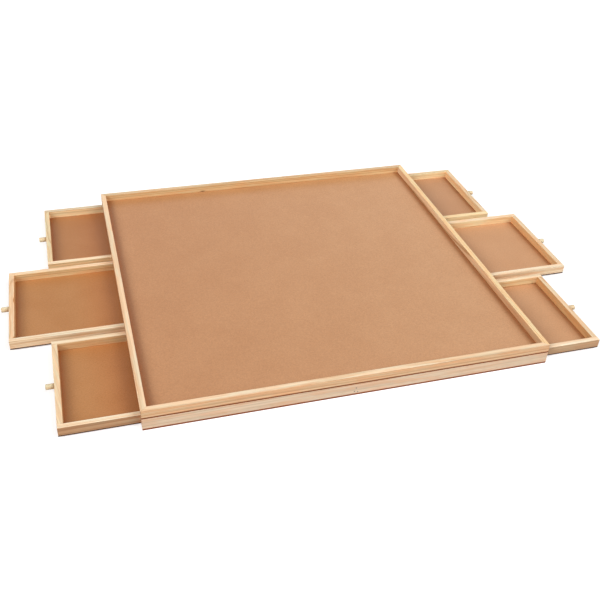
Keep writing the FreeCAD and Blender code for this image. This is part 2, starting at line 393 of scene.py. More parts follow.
class Fibres(Effect):
    """Wood fibres along the vector's X: broad streaks, fine threads and resin ducts."""

    name = "wood_fibres"
    inputs = {"Vector": VECTOR}
    outputs = ("Streak", "Thread", "Duct")
    streaks = Grain((4.0, 300.0, 300.0), 3.0, 0.6)
    threads = Grain((28.0, 1500.0, 1500.0), 3.0, 0.6)
    ducts = Grain((70.0, 1100.0, 1100.0), 1.0)
    contrast = (0.28, 0.72)
    peaks = (0.69, 0.76)

    def build(self, graph: Graph, source: Outputs) -> dict[str, Socket]:
        """Stretch three noises along the grain.

        Args:
            graph: The group's graph.
            source: The group's inputs.

        Returns:
            A socket for each output.
        """
        return {
            "Streak": graph.patches(source["Vector"], self.streaks, self.contrast),
            "Thread": graph.patches(source["Vector"], self.threads, self.contrast),
            "Duct": graph.patches(source["Vector"], self.ducts, self.peaks),
        }


class Mottle(Effect):
    """Soft patches without a direction, of two sizes."""

    name = "mottle"
    inputs = {"Vector": VECTOR, "Scale": NUMBER}
    outputs = ("Cloud", "Blotch")
    clouds = Grain(detail=3.0, roughness=0.55)
    blotches = Grain((22.0, 22.0, 22.0), 4.0, 0.65)
    contrast = (0.3, 0.7)

    def build(self, graph: Graph, source: Outputs) -> dict[str, Socket]:
        """Read two noises, one much finer than the other.

        Args:
            graph: The group's graph.
            source: The group's inputs.

        Returns:
            A socket for each output.
        """
        vector = graph.scaled(source["Vector"], source["Scale"])
        return {
            "Cloud": graph.patches(vector, self.clouds, self.contrast),
            "Blotch": graph.patches(vector, self.blotches, self.contrast),
        }


class Felt(Effect):
    """Pressed wood fibres that lie every way, with stray dark and pale ones among them."""

    name = "felted_fibres"
    inputs = {"Vector": VECTOR}
    outputs = ("Body", "Dark Fleck", "Pale Fleck")
    ways = (Grain((260.0, 1100.0, 260.0), 3.0, 0.6), Grain((1100.0, 260.0, 260.0), 3.0, 0.6))
    contrast = (0.7, 1.3)
    fleck = (0.60, 0.72)

    def build(self, graph: Graph, source: Outputs) -> dict[str, Socket]:
        """Cross two stretched noises, and pick their peaks and their hollows.

        Args:
            graph: The group's graph.
            source: The group's inputs.

        Returns:
            A socket for each output.
        """
        fibres = [graph.noise(source["Vector"], way)["Fac"] for way in self.ways]
        hollows = graph.math("SUBTRACT", 1.0, graph.math("MINIMUM", *fibres))
        return {
            "Body": graph.smooth(graph.math("ADD", *fibres), *self.contrast),
            "Dark Fleck": graph.smooth(graph.math("MAXIMUM", *fibres), *self.fleck),
            "Pale Fleck": graph.smooth(hollows, *self.fleck),
        }


class Spot(Effect):
    """A round soft spot, which is 1 at its middle and 0 from its radius out.

    The vector is divided by Reach, axis by axis, so the spot can be long.
    """

    name = "spot"
    inputs = {"Vector": VECTOR, "Middle": VECTOR, "Reach": VECTOR}
    outputs = ("Mask",)

    def build(self, graph: Graph, source: Outputs) -> dict[str, Socket]:
        """Turn the distance from the middle into a mask.

        Args:
            graph: The group's graph.
            source: The group's inputs.

        Returns:
            A socket for each output.
        """
        offset = graph.vector("SUBTRACT", source["Vector"], source["Middle"])
        share = graph.length(graph.vector("DIVIDE", offset, source["Reach"]))
        return {"Mask": graph.math("SUBTRACT", 1.0, graph.smooth(share, 0.0, 1.0))}


# ---- finishes


@dataclass(frozen=True)
class Finish:
    """A procedural material. Its slot, the record's slot that it stands for, is not used."""

    name: str
    slot: str

    def material(self) -> bpy.types.Material:
        """Find the finish's material, or build it if this is its first use.

        Returns:
            The material.
        """
        known = bpy.data.materials.get(self.name)
        if known is not None:
            return known
        material = bpy.data.materials.new(self.name)
        material.use_nodes = True
        material.node_tree.nodes.clear()
        graph = Graph(material.node_tree)
        shader = graph.add("ShaderNodeBsdfPrincipled")
        graph.add("ShaderNodeOutputMaterial", {"Surface": shader.outputs["BSDF"]})
        self.dress(graph, shader)
        return material

    def dress(self, graph: Graph, shader: Node) -> None:
        """Feed the Principled shader from the nodes of the material's graph."""
        raise NotImplementedError

    @staticmethod
    def emboss(graph: Graph, shader: Node, height: Socket, depth: float) -> None:
        """Feed the shader's normal from a height that goes from 0 to 1, and is depth at 1."""
        bump = graph.add("ShaderNodeBump", {"Strength": 1.0, "Distance": depth, "Height": height})
        graph.feed(shader, "Normal", bump.outputs["Normal"])


@dataclass(frozen=True)
class Mark:
    """A soft mark on a pine piece, by default a stain, and how far it reaches along each axis."""

    middle: Place
    reach: Place
    dye: Colour = shown(112, 98, 88)
    strength: float = 0.6


@dataclass(frozen=True)
class Pine(Finish):
    """Bare pine.

    It reads what the piece notes of itself: grain, tint, figure, sanded, end_grain and arris. Faces
    that turn up take its paler sanded colours, partly from sanding and partly as a painted
    highlight.
    Its shades are the least and the most of the colour that the streaks and threads keep.
    """

    planed: Colour = shown(227, 186, 148)
    planed_late: Colour = shown(183, 130, 86)
    # Partly painted highlight: the paler colours of faces that turn up, also partly from sanding.
    sanded: Colour = shown(253, 228, 200)
    sanded_late: Colour = shown(224, 180, 134)
    cut_end: Colour = shown(214, 168, 122)
    cut_strength: float = 0.7
    rosy: Colour = shown(255, 241, 224)
    straw: Colour = shown(252, 255, 248)
    hues: Grain = Grain((14.0, 120.0, 120.0))
    hue_contrast: Span = (0.38, 0.62)
    resin: Colour = shown(158, 102, 58)
    resin_strength: float = 0.30
    ring_width: float = 4.2 * MM
    wobble: float = 14.0 * MM
    waves: float = 1.3
    streak_shades: Span = (0.91, 1.09)
    thread_shades: Span = (0.96, 1.04)
    arris_shade: float = 0.03
    roughness: Span = (0.52, 0.68)
    arris_polish: float = -0.08
    ring_relief: float = 0.25
    relief: float = 0.03 * MM
    marks: tuple[Mark, ...] = ()

    def dress(self, graph: Graph, shader: Node) -> None:
        """Colour the wood, and roughen it along its fibres.

        Args:
            graph: The material's graph.
            shader: Its Principled shader.
        """
        grain = graph.noted("grain", "Vector")
        fibres = Fibres().place(graph, Vector=grain)
        rings = GrowthRings().place(
            graph, Vector=grain, Ring_Width=self.ring_width, Wobble=self.wobble, Waves=self.waves)
        latewood = graph.math("MULTIPLY", rings["Latewood"], graph.noted("figure"))
        colour = self.tint(graph, self.wood(graph, latewood), grain, fibres)
        for mark in self.marks:
            spot = Spot().place(graph, Vector=graph.place(), Middle=mark.middle, Reach=mark.reach)
            share = graph.math("MULTIPLY", spot["Mask"], mark.strength)
            colour = graph.blend(share, colour, mark.dye)
        graph.feed(shader, "Base Color", colour)
        rough = graph.spread(fibres["Thread"], *self.roughness)
        rough = graph.math("MULTIPLY_ADD", graph.noted("arris"), self.arris_polish, rough)
        graph.feed(shader, "Roughness", rough)
        height = graph.math("MULTIPLY_ADD", latewood, self.ring_relief, fibres["Thread"])
        self.emboss(graph, shader, height, self.relief)

    def wood(self, graph: Graph, latewood: Socket) -> Socket:
        """Return the colour of the rings on planed, sanded and sawn faces.

        Args:
            graph: The material's graph.
            latewood: The mask of the dark part of each ring.

        Returns:
            The colour.
        """
        planed = graph.blend(latewood, self.planed, self.planed_late)
        # Partly painted highlight: faces that turn up take the paler colour.
        sanded = graph.blend(latewood, self.sanded, self.sanded_late)
        colour = graph.blend(graph.noted("sanded"), planed, sanded)
        cut = graph.math("MULTIPLY", graph.noted("end_grain"), self.cut_strength)
        return graph.blend(cut, colour, self.cut_end, "MULTIPLY")

    def tint(
        self, graph: Graph, colour: Socket, grain: Socket, fibres: Outputs
    ) -> Socket:
        """Shade a colour by the piece's own tint and along its fibres.

        Args:
            graph: The material's graph.
            colour: The colour to shade.
            grain: The place in the trunk.
            fibres: The outputs of the fibres' group.

        Returns:
            The shaded colour.
        """
        hue = graph.patches(grain, self.hues, self.hue_contrast)
        colour = graph.times(colour, graph.blend(hue, self.rosy, self.straw))
        streak = graph.spread(fibres["Streak"], *self.streak_shades)
        thread = graph.spread(fibres["Thread"], *self.thread_shades)
        shade = graph.math("MULTIPLY", streak, thread)
        shade = graph.math("MULTIPLY_ADD", graph.noted("arris"), self.arris_shade, shade)
        colour = graph.times(graph.shaded(colour, shade), graph.noted("tint", "Vector"))
        resin = graph.math("MULTIPLY", fibres["Duct"], self.resin_strength)
        return graph.blend(resin, colour, self.resin)


@dataclass(frozen=True)
class Hardboard(Finish):
    """Brown hardboard, smooth above, with a wire mesh's print below and dark sawn edges.

    Painted shade darkens it along the feet of the walls at its left and right. Its left and its
    right may take tints of their own; where they differ, the change across it is painted shade,
    and shade_span is the stretch of X in which one turns into the other. Along its back it may
    be deeper, a painted shade at the foot of the back rim, and back_shade_span is the stretch of
    Y in which it turns so. It reads what the sheet notes: sawn, underside and walled of its
    faces, and from_walls of its corners.
    """

    light: Colour = shown(204, 153, 111)
    dark: Colour = shown(196, 144, 102)
    dark_fleck: Colour = shown(164, 112, 76)
    dark_strength: float = 0.45
    pale_fleck: Colour = shown(222, 178, 142)
    pale_strength: float = 0.35
    blotch_shades: Span = (0.94, 1.06)
    # The sawn edges' own dark brown, darkened further as painted shade of the gap and floor beneath
    # them.
    sawn: Colour = shown(124, 56, 8)
    sawn_shades: Span = (0.7, 1.3)
    sawn_roughness: float = 0.35
    # Painted shade at the walls' feet: the colour it is multiplied by there, and how far it
    # reaches.
    painted_foot_shade: Colour = (0.68, 0.50, 0.34, 1.0)
    painted_shade_reach: float = 22.0 * MM
    # Tints of its left and right; where they differ, the change across it is painted shade.
    left: Colour = WHITE
    right: Colour = WHITE
    shade_span: Span = (-0.45, 0.45)
    # Painted shade, darker and redder, towards its back.
    back: Colour = WHITE
    back_shade_span: Span = (0.375, 0.42)
    patch_scale: float = 12.0
    roughness: Span = (0.40, 0.60)
    mesh_pitch: float = 1.6 * MM
    relief_share: float = 0.25
    mesh_relief: float = 0.12 * MM

    def dress(self, graph: Graph, shader: Node) -> None:
        """Colour the pressed fibres, paint shade across it, at its back and at the walls' feet,
        darken the edges and print the mesh.

        Args:
            graph: The material's graph.
            shader: Its Principled shader.
        """
        place = graph.place()
        felt = Felt().place(graph, Vector=place)
        # Painted shade across X and towards the back.
        across = graph.smooth(graph.parts(place)["X"], *self.shade_span)
        behind = graph.smooth(graph.parts(place)["Y"], *self.back_shade_span)
        colour = self.felted(graph, place, felt)
        colour = graph.times(colour, graph.blend(across, self.left, self.right))
        colour = graph.blend(behind, colour, self.back, "MULTIPLY")
        # Painted shade at the walls' feet.
        colour = graph.blend(self.painted_shade_mask(graph), colour, self.painted_foot_shade, "MULTIPLY")
        sawn = graph.noted("sawn")
        edge = graph.shaded(self.sawn, graph.spread(felt["Body"], *self.sawn_shades))
        graph.feed(shader, "Base Color", graph.blend(sawn, colour, edge))
        pressed = graph.spread(felt["Body"], *self.roughness)
        rough = graph.math("MULTIPLY_ADD", sawn, self.sawn_roughness, pressed)
        graph.feed(shader, "Roughness", rough)
        self.emboss(graph, shader, self.height(graph, place, felt["Body"]), self.mesh_relief)

    def felted(self, graph: Graph, place: Socket, felt: Outputs) -> Socket:
        """Return the colour of the pressed fibres.

        Args:
            graph: The material's graph.
            place: The place on the sheet.
            felt: The outputs of the fibres' group.

        Returns:
            The colour, with its patches and flecks.
        """
        patches = Mottle().place(graph, Vector=place, Scale=self.patch_scale)
        share = graph.math("DIVIDE", graph.math("ADD", felt["Body"], patches["Cloud"]), 2.0)
        colour = graph.blend(share, self.light, self.dark)
        colour = graph.shaded(colour, graph.spread(patches["Blotch"], *self.blotch_shades))
        dark = graph.math("MULTIPLY", felt["Dark Fleck"], self.dark_strength)
        pale = graph.math("MULTIPLY", felt["Pale Fleck"], self.pale_strength)
        return graph.blend(pale, graph.blend(dark, colour, self.dark_fleck), self.pale_fleck)

    def painted_shade_mask(self, graph: Graph) -> Socket:
        """Return the mask of the painted shade, which is 1 at the walls' feet and fades away from
        them.

        Args:
            graph: The material's graph.

        Returns:
            The mask.
        """
        away = graph.parts(graph.noted("from_walls", "Vector"))
        unshaded = graph.smooth(graph.math("MINIMUM", away["X"], away["Y"]), 0.0, self.painted_shade_reach)
        return graph.math("MULTIPLY", graph.math("SUBTRACT", 1.0, unshaded), graph.noted("walled"))

    def height(self, graph: Graph, place: Socket, fibres: Socket) -> Socket:
        """Return the height of the pressed face, and of the mesh's print on the underside.

        Args:
            graph: The material's graph.
            place: The place on the sheet.
            fibres: The felted fibres, from 0 to 1.

        Returns:
            The height, as a share of mesh_relief.
        """
        turns = math.tau / self.mesh_pitch
        waves = graph.parts(graph.stretched(place, (turns, turns, 0.0)))
        weave = graph.math("MULTIPLY", *(graph.math("SINE", waves[axis]) for axis in "XY"))
        printed = graph.math("MULTIPLY", weave, graph.noted("underside"))
        return graph.math("MULTIPLY_ADD", fibres, self.relief_share, printed)


@dataclass(frozen=True)
class Steel(Finish):
    """Dull steel of a driven brad's head, a little stained by the wood."""

    bright: Colour = shown(164, 158, 150)
    stained: Colour = shown(112, 100, 90)
    patch_scale: float = 60.0
    contrast: Span = (0.35, 0.65)
    roughness: Span = (0.32, 0.62)
    metallic: float = 0.85

    def dress(self, graph: Graph, shader: Node) -> None:
        """Stain the steel in patches.

        Args:
            graph: The material's graph.
            shader: Its Principled shader.
        """
        patches = Mottle().place(graph, Vector=graph.place(), Scale=self.patch_scale)
        share = graph.smooth(patches["Blotch"], *self.contrast)
        graph.feed(shader, "Base Color", graph.blend(share, self.bright, self.stained))
        graph.feed(shader, "Roughness", graph.spread(share, *self.roughness))
        graph.feed(shader, "Metallic", self.metallic)


PINE = Pine("bare_pine", "pine")
WAVY_PINE = replace(
    PINE, name="wavy_pine", sanded_late=shown(198, 144, 90), ring_width=3.0 * MM,
    wobble=9.0 * MM, waves=8.0)
RAIL_PINE = replace(
    PINE, name="pale_rail_pine", planed=shown(224, 196, 173), planed_late=shown(199, 165, 131),
    ring_width=5.4 * MM)
DOWEL = replace(
    PINE, name="dowel_pine", slot="dowel", planed=shown(226, 214, 186),
    planed_late=shown(202, 180, 144), sanded=shown(226, 214, 186),
    sanded_late=shown(202, 180, 144), ring_width=1.6 * MM)
HARDBOARD = Hardboard("brown_hardboard", "hardboard")
# The work panel: painted shade, darker and redder on its left than its right, and deeper along its
# back rim's foot.
SHADE_PAINTED_HARDBOARD = replace(
    HARDBOARD, name="faded_hardboard", left=(0.90, 0.84, 0.79, 1.0),
    right=(1.01, 1.03, 1.05, 1.0), back=(0.91, 0.87, 0.73, 1.0))
# Left drawers' bottoms: their own darker tan, with painted shade, redder and darker, towards their
# right by the board, and sawn edges darkened as painted shade of the gap beneath.
TAN_SHADED_HARDBOARD = replace(
    HARDBOARD, name="tanned_hardboard", light=shown(185, 130, 80), dark=shown(175, 117, 65),
    dark_fleck=shown(144, 88, 50), pale_fleck=shown(198, 150, 108), sawn=shown(62, 30, 6),
    painted_shade_reach=15.0 * MM, right=(1.10, 0.92, 0.78, 1.0), shade_span=(-0.56, -0.44))
# The back left drawer's bottom: darker overall, with a stronger painted shade by the board.
DEEP_TAN_SHADED_HARDBOARD = replace(
    TAN_SHADED_HARDBOARD, name="deep_tanned_hardboard", left=(0.92, 0.90, 0.96, 1.0),
    right=(1.00, 0.84, 0.78, 1.0))
# Drawer bottoms whose sawn edges are darker still, a painted shade of the gap under each drawer.
DARK_EDGED_HARDBOARD = replace(
    HARDBOARD, name="dark_edged_hardboard", sawn=shown(52, 26, 4), painted_shade_reach=15.0 * MM)
DULL_HARDBOARD = replace(
    DARK_EDGED_HARDBOARD, name="dull_hardboard", left=(0.88, 0.86, 0.86, 1.0),
    right=(0.88, 0.86, 0.86, 1.0))
STEEL = Steel("brad_steel", "steel_brad")


# ---- meshes


def saved(shape: Shape, name: str) -> bpy.types.Mesh:
    """Turn a shape into a mesh that lasts.

    Args:
        shape: The shape, which is freed.
        name: The mesh's name.

    Returns:
        The mesh.
    """
    mesh = bpy.data.meshes.new(name)
    shape.to_mesh(mesh)
    shape.free()
    return mesh


def put(name: str, data: bpy.types.ID) -> bpy.types.Object:
    """Put an object into the scene.

    Args:
        name: The object's name.
        data: Its mesh, light or camera.

    Returns:
        The object.
    """
    item = bpy.data.objects.new(name, data)
    bpy.context.scene.collection.objects.link(item)
    return item


@dataclass(frozen=True)
class Block:
    """The room that a CAD node takes, with its corners at rest."""

    low: Vector
    high: Vector

    @classmethod
    def of(cls, node: str) -> "Block":
        """Return the room of a CAD node."""
        low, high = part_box(node)
        return cls(Vector(low), Vector(high))

    @property
    def middle(self) -> Vector:
        """The middle of the room."""
        return (self.low + self.high) / 2

    @property
    def size(self) -> Vector:
        """The room's extent along each axis."""
        return self.high - self.low

    def mesh(self) -> Shape:
        """Start a mesh as a cube that fills the room.

        Returns:
            The mesh.
        """
        shape = bmesh.new()
        bmesh.ops.create_cube(shape, size=1.0)
        bmesh.ops.scale(shape, vec=self.size, verts=shape.verts)
        bmesh.ops.translate(shape, vec=self.middle, verts=shape.verts)
        return shape


def edges_along(shape: Shape, axis: Axis) -> list[Edge]:
    """Return a shape's edges that run along an axis."""
    runs = {edge: (edge.verts[1].co - edge.verts[0].co).normalized() for edge in shape.edges}
    return [edge for edge, run in runs.items() if abs(run[axis.value]) > SQUARELY]


def round_edges(shape: Shape, edges: Iterable[Edge], radius: float, facets: int) -> list[Face]:
    """Round some edges of a shape.

    Args:
        shape: The mesh.
        edges: The edges to round.
        radius: The radius of the rounding.
        facets: Facets across it.

    Returns:
        The faces of the rounding.
    """
    rounding = bmesh.ops.bevel(
        shape, geom=list(edges), offset=radius, offset_type="OFFSET", segments=facets,
        profile=CIRCULAR, affect="EDGES", material=-1, clamp_overlap=True)
    return rounding["faces"]


def lathe(profile: Sequence[Span], steps: int) -> Shape:
    """Turn a profile round the Z axis into a closed solid.

    Args:
        profile: Points (distance from the axis, height), from one end on the axis to the other.
        steps: Facets round the axis.

    Returns:
        The solid's mesh.
    """
    shape = bmesh.new()
    points = [shape.verts.new((radius, 0.0, height)) for radius, height in profile]
    edges = [shape.edges.new(pair) for pair in zip(points, points[1:])]
    bmesh.ops.spin(
        shape, geom=points + edges, cent=(0, 0, 0), axis=(0, 0, 1), angle=math.tau,
        steps=steps, use_merge=True)
    bmesh.ops.remove_doubles(shape, verts=shape.verts, dist=TOUCHING)
    bmesh.ops.recalc_face_normals(shape, faces=shape.faces)
    return shape


def note_faces(
    shape: Shape, name: str, value: Callable[[Face], object], kind: str = "float"
) -> None:
    """Note something of each face, which the finish reads.

    Args:
        shape: The mesh.
        name: The note's name.
        value: Gives a face's number or vector.
        kind: float for numbers or float_vector for vectors.
    """
    layer = getattr(shape.loops.layers, kind).new(name)
    for face in shape.faces:
        noted = value(face)
        for loop in face.loops:
            loop[layer] = noted


def note_corners(shape: Shape, name: str, value: Callable[[Vector], Place]) -> None:
    """Note a vector for each corner, which the finish reads.

    Args:
        shape: The mesh.
        name: The note's name.
        value: Gives the vector for a corner's place.
    """
    layer = shape.verts.layers.float_vector.new(name)
    for vert in shape.verts:
        vert[layer] = Vector(value(vert.co))


@dataclass(frozen=True)
class Timber:
    """How a wooden piece was cut from its trunk, and how it looks.

    Figure is how strong its rings are, and sanded_and_lit_share how much its sides take the paler
    colour of its top, which is partly sanding and partly a painted highlight. Its side and top
    tints are partly the wood's own tone and partly painted light and shade. Lean is how far the
    grain strays sideways in a metre. Pith is the place of the trunk's middle across the grain,
    from the piece's own middle. If there is none it is drawn, at a distance within pith_reach.
    """

    axis: Axis
    seed: int
    sides: Tint = Tint.PLAIN
    top: Tint = Tint.PLAIN
    sanded_and_lit_share: float = 0.0
    figure: float = 0.9
    lean: float = 0.01
    pith: Span | None = None
    pith_reach: Span = (18.0 * MM, 75.0 * MM)
    trunk_length: float = 3.0

    def note(self, shape: Shape, middle: Vector, rounded: set[Face]) -> None:
        """Note what the pine finish reads.

        The grain is the place in the trunk: X along it, Y and Z from its pith.

        Args:
            shape: The piece's mesh.
            middle: The piece's middle.
            rounded: The faces of its rounded edges.
        """
        draw = random.Random(self.seed)
        away = draw.uniform(*self.pith_reach)
        angle = draw.uniform(0.0, math.tau)
        start = draw.uniform(0.0, self.trunk_length)
        pith = Vector(self.pith or (away * math.cos(angle), away * math.sin(angle)))
        axis = self.axis.value

        def in_trunk(corner: Vector) -> Place:
            """Return a corner's place in the trunk.

            Args:
                corner: The corner's place in the piece.

            Returns:
                How far along the trunk it is, and how far from the pith both ways.
            """
            place = corner - middle
            aside = place[1 - axis] + self.lean * place[axis]
            return (start + place[axis], aside - pith.x, place.z - pith.y)

        # Side and top tints hold painted light and shade as well as the wood's own tone.
        def tint(face: Face) -> Vector:
            """Return a face's tint, which turns into the top's as the face turns up."""
            return self.sides.fade(self.top, max(0.0, face.normal.z))

        def is_end(face: Face) -> float:
            """Return 1 for a face across the grain."""
            return float(abs(face.normal[axis]) > MOSTLY)

        note_corners(shape, "grain", in_trunk)
        note_faces(shape, "tint", tint, "float_vector")
        note_faces(shape, "figure", lambda face: self.figure)
        # Partly painted highlight: faces that turn up, and sides by their share, take the top's
        # paler colour.
        note_faces(shape, "sanded", lambda face: max(self.sanded_and_lit_share, face.normal.z))
        note_faces(shape, "end_grain", is_end)
        note_faces(shape, "arris", lambda face: float(face in rounded))


@dataclass
class Piece:
    """A visible piece that stands for one CAD node and moves with the node's body."""

    node: str
    kind: str
    finish: Finish
    shape: Shape

    def place(self) -> None:
        """Make the piece's object, dress it and tie it to the frame."""
        name = f"{self.node}_{self.kind}"
        mesh = saved(self.shape, name)
        mesh.materials.append(self.finish.material())
        piece = put(name, mesh)
        body = next(body for body, nodes in BODIES.items() if self.node in nodes)
        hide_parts(self.node)
        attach(piece, body)
        LOG.info("%s: %d faces, rides on %s", name, len(mesh.polygons), body)


@dataclass(frozen=True)
class Batten:
    """A pine batten with square ends that fills the room of its node."""

    node: str
    timber: Timber
    finish: Pine = PINE
    edge_radius: float = 0.7 * MM
    edge_facets: int = 3
    end_radius: float = 0.25 * MM
    end_facets: int = 2
    kind: ClassVar[str] = "batten"

    def build(self) -> None:
        """Shape the batten, and note what its finish reads."""
        block = Block.of(self.node)
        shape = block.mesh()
        rounded = {face for face in self.work(shape, block) if face.is_valid}
        shape.normal_update()
        for face in rounded:
            face.smooth = True
        self.timber.note(shape, block.middle, rounded)
        Piece(self.node, self.kind, self.finish, shape).place()

    def work(self, shape: Shape, block: Block) -> list[Face]:
        """Round the long edges, and the ends a little less.

        Args:
            shape: The batten's mesh.
            block: The room of the whole batten.

        Returns:
            The faces of the rounded edges.
        """
        axis = self.timber.axis
        rounded = round_edges(
            shape, edges_along(shape, axis), self.edge_radius, self.edge_facets)
        ends = [face for face in shape.faces if abs(face.normal[axis.value]) > MOSTLY]
        rim = {edge for face in ends for edge in face.edges}
        return rounded + round_edges(shape, rim, self.end_radius, self.end_facets)


@dataclass(frozen=True)
class MitredBatten(Batten):
    """A rim batten, cut at 45 degrees where it meets its neighbours."""

    joint_gap: float = 0.18 * MM
    kind: ClassVar[str] = "mitred_batten"

    def work(self, shape: Shape, block: Block) -> list[Face]:
        """Cut both mitres off a full-length batten and round its long edges.

        Args:
            shape: The batten's mesh.
            block: The room of the whole batten.

        Returns:
            The faces of the rounded edges.
        """
        for end in (-1.0, 1.0):
            self.cut(shape, block, end)
        edges = edges_along(shape, self.timber.axis)
        rounded = round_edges(shape, edges, self.edge_radius, self.edge_facets)
        bmesh.ops.recalc_face_normals(shape, faces=shape.faces)
        return rounded

    def cut(self, shape: Shape, block: Block, end: float) -> None:
        """Cut one mitre, half a hairline short of the joint.

        Args:
            shape: The batten's mesh.
            block: The room of the whole batten.
            end: 1 for the end that is further along the axis, and -1 for the other.
        """
        axis = self.timber.axis.value
        across = 1 - axis
        outward = math.copysign(1.0, block.middle[across])
        corner = block.middle
        corner[axis] += end * block.size[axis] / 2
        corner[across] += outward * block.size[across] / 2
        normal = Vector((0.0, 0.0, 0.0))
        normal[axis] = end
        normal[across] = -outward
        normal.normalize()
        section = bmesh.ops.bisect_plane(
            shape, geom=shape.verts[:] + shape.edges[:] + shape.faces[:], dist=TOUCHING,
            plane_co=corner - normal * self.joint_gap, plane_no=normal, clear_outer=True)
        rim = [item for item in section["geom_cut"] if isinstance(item, Edge)]
        bmesh.ops.holes_fill(shape, edges=rim)


@dataclass(frozen=True)
class Sheet:
    """A sawn hardboard sheet that fills the room of its node.

    Walls are the nodes that stand on it at its left and right, if there are any.
    """

    node: str
    finish: Hardboard = HARDBOARD
    walls: tuple[str, str] | None = None
    edge_radius: float = 0.25 * MM
    edge_facets: int = 2

    def build(self) -> None:
        """Break the sheet's edges and tell its faces apart."""
        shape = Block.of(self.node).mesh()
        round_edges(shape, shape.edges, self.edge_radius, self.edge_facets)
        shape.normal_update()
        note_faces(shape, "sawn", lambda face: 1.0 - face.normal.z ** 2)
        note_faces(shape, "underside", lambda face: float(face.normal.z < -MOSTLY))
        # The walls tell the finish where to paint shade at their feet.
        if self.walls:
            left, right = (Block.of(wall) for wall in self.walls)
            note_faces(shape, "walled", lambda face: float(face.normal.z > MOSTLY))
            note_corners(shape, "from_walls", lambda place: (
                place.x - left.high.x, right.low.x - place.x, 0.0))
        Piece(self.node, "sheet", self.finish, shape).place()


@dataclass(frozen=True)
class Knob:
    """A dowel knob that stands out of a drawer's face."""

    node: str
    side: Side
    seed: int
    finish: Pine = DOWEL
    rounding: float = 1.6 * MM
    arc_steps: int = 5
    steps: int = 40
    pith_reach: Span = (4.0 * MM, 20.0 * MM)

    def build(self) -> None:
        """Turn the dowel with its free end rounded, and lay it along X."""
        block = Block.of(self.node)
        radius = block.size.y / 2
        length = block.size.x
        quarter = [math.pi / 2 * step / self.arc_steps for step in range(self.arc_steps + 1)]
        rounded = [
            (radius - self.rounding * (1 - math.cos(angle)),
             length - self.rounding * (1 - math.sin(angle)))
            for angle in quarter
        ]
        shape = lathe([(0.0, 0.0), (radius, 0.0), *rounded, (0.0, length)], self.steps)
        turn = Euler((0.0, self.side.value * math.pi / 2, 0.0)).to_matrix()
        glued_end = block.middle - Vector((self.side.value * length / 2, 0.0, 0.0))
        bmesh.ops.transform(
            shape, matrix=Matrix.Translation(glued_end) @ turn.to_4x4(), verts=shape.verts)
        shape.normal_update()
        timber = Timber(Axis.X, self.seed, pith_reach=self.pith_reach)
        timber.note(shape, block.middle, set())
        for face in shape.faces:
            face.smooth = abs(face.normal.x) < SQUARELY
        Piece(self.node, "dowel", self.finish, shape).place()


@dataclass(frozen=True)
class Brads:
    """The brads of one node, each with a filed head that stands a hair proud of the wood."""

    node: str
    drive: Drive
    finish: Steel = STEEL
    head_radius: float = 1.4 * MM
    head_height: float = 0.8 * MM
    shank_radius: float = 0.8 * MM
    point: float = 2.0 * MM
    proud: float = 0.06 * MM
    dome: float = 0.10 * MM
    steps: int = 12

    def build(self) -> None:
        """Turn one brad, and put a copy in the place of each solid of the node."""
        way = Vector(self.drive.value)
        turn = way.to_track_quat("Z", "Y").to_matrix().to_4x4()
        shape = bmesh.new()
        for head, length in self.places():
            brad = self.brad(length + self.proud)
            place = Matrix.Translation(head - way * self.proud)
            bmesh.ops.transform(brad, matrix=place @ turn, verts=brad.verts)
            copy = saved(brad, "brad")
            shape.from_mesh(copy)
            bpy.data.meshes.remove(copy)
        Piece(self.node, "driven", self.finish, shape).place()

    def brad(self, length: float) -> Shape:
        """Turn one brad, head down, with its head's face a little domed.

        Args:
            length: From the head's face to the point.

        Returns:
            The brad's mesh.
        """
        profile = (
            (0.0, 0.0),
            (self.head_radius - self.dome, 0.0),
            (self.head_radius, self.dome),
            (self.head_radius, self.head_height),
            (self.shank_radius, self.head_height),
            (self.shank_radius, length - self.point),
            (0.0, length),
        )
        return lathe(profile, self.steps)

    def places(self) -> list[tuple[Vector, float]]:
        """Find the brads in the CAD node.

        Returns:
            The middle of the head's face and the length of each brad, sorted by place.
        """
        shape = bmesh.new()
        shape.from_mesh(frame["nodes"][self.node].data)
        bmesh.ops.remove_doubles(shape, verts=shape.verts, dist=TOUCHING)
        way = Vector(self.drive.value)
        places: list[tuple[Vector, float]] = []
        waiting = set(shape.verts)
        while waiting:
            solid = self.joined_to(waiting.pop())
            waiting -= solid
            reach = list(zip(*(vert.co for vert in solid)))
            low, high = (Vector([pick(axis) for axis in reach]) for pick in (min, max))
            length = abs((high - low).dot(way))
            places.append(((low + high) / 2 - way * length / 2, length))
        shape.free()
        return sorted(places, key=lambda place: tuple(place[0]))

    @staticmethod
    def joined_to(start: bmesh.types.BMVert) -> set[bmesh.types.BMVert]:
        """Find the solid that a vertex is on.

        Args:
            start: The vertex.

        Returns:
            All the vertices of its solid.
        """
        solid = {start}
        border = [start]
        while border:
            vert = border.pop()
            near = {edge.other_vert(vert) for edge in vert.link_edges} - solid
            solid |= near
            border.extend(near)
        return solid


# ---- sub-assemblies


